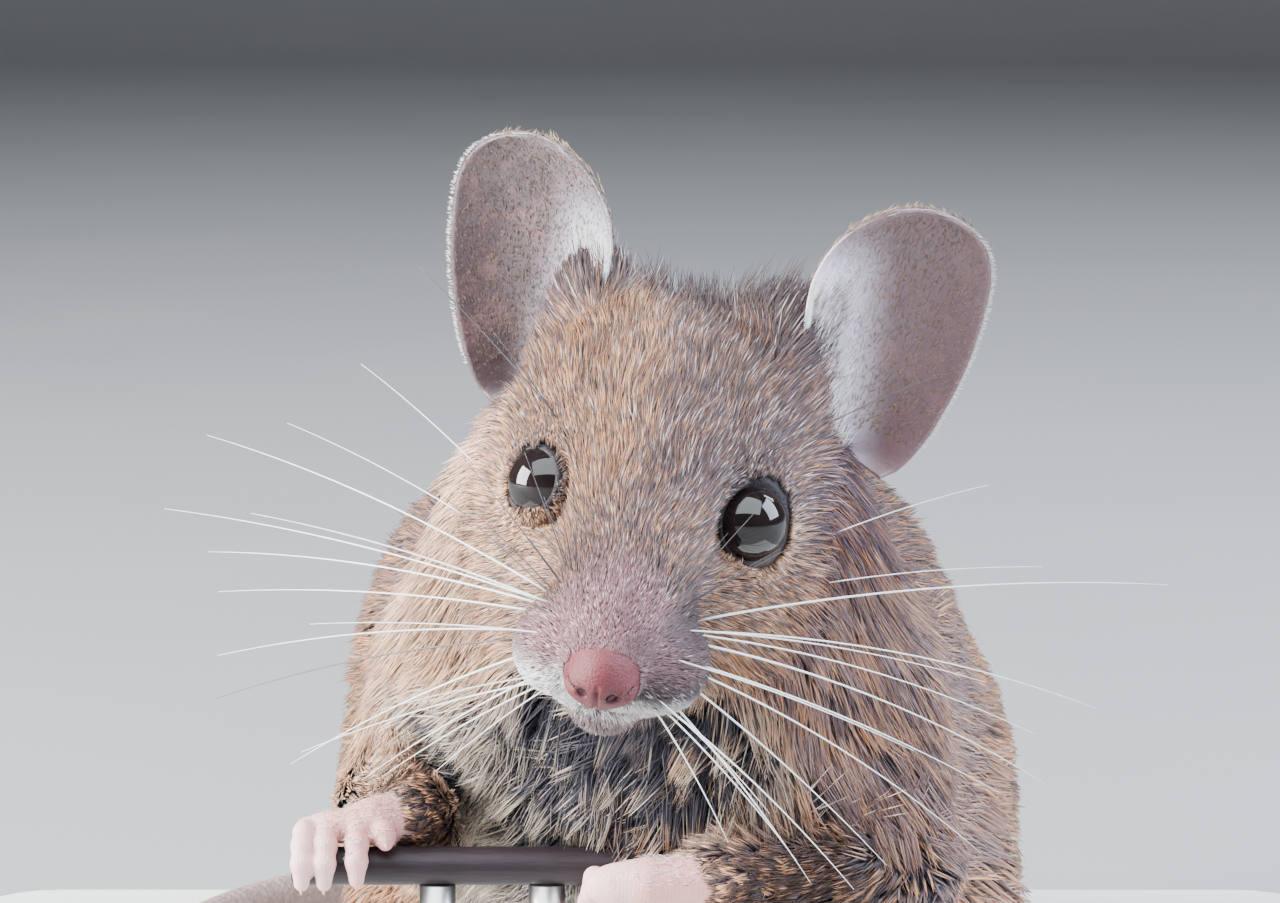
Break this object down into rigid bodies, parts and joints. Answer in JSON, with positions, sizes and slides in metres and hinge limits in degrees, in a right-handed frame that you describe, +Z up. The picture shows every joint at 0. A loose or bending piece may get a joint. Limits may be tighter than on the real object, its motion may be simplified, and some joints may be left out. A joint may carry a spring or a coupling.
{
  "type": "house mouse",
  "caption": "Life-size still model of a house mouse holding a short dark rod with its forepaws, on a plain display stand with a flat base.",
  "frame": {"origin": "middle of the stand base's underside", "axes": "+Z up, the mouse faces -Y, its left side is towards +X"},
  "size_m": [0.074, 0.0758, 0.0494],
  "materials": {
    "coat": "short soft fur",
    "bare_skin": "soft bare skin",
    "ear_skin": "thin skin with fine hairs",
    "tail_skin": "ringed scaly skin",
    "eye": "wet gloss",
    "perch": "dark satin",
    "stand": "satin",
    "stand_rod": "satin"
  },
  "bodies": {
    "root": {"head": "coat", "nose": "bare_skin", "ear_left": "ear_skin", "ear_right": "ear_skin", "eye_left": "eye", "eye_right": "eye", "neck": "coat", "trunk": "coat", "foreleg_left": "coat", "foreleg_right": "coat", "forepaw_left": "bare_skin", "forepaw_right": "bare_skin", "hindleg_left": "coat", "hindleg_right": "coat", "hindfoot_left": "bare_skin", "hindfoot_right": "bare_skin", "tail_root": "tail_skin", "tail_middle": "tail_skin", "tail_tip": "tail_skin", "perch": "perch", "stand_base": "stand", "stand_rod_left": "stand_rod", "stand_rod_right": "stand_rod"}
  },
  "joints": []
}
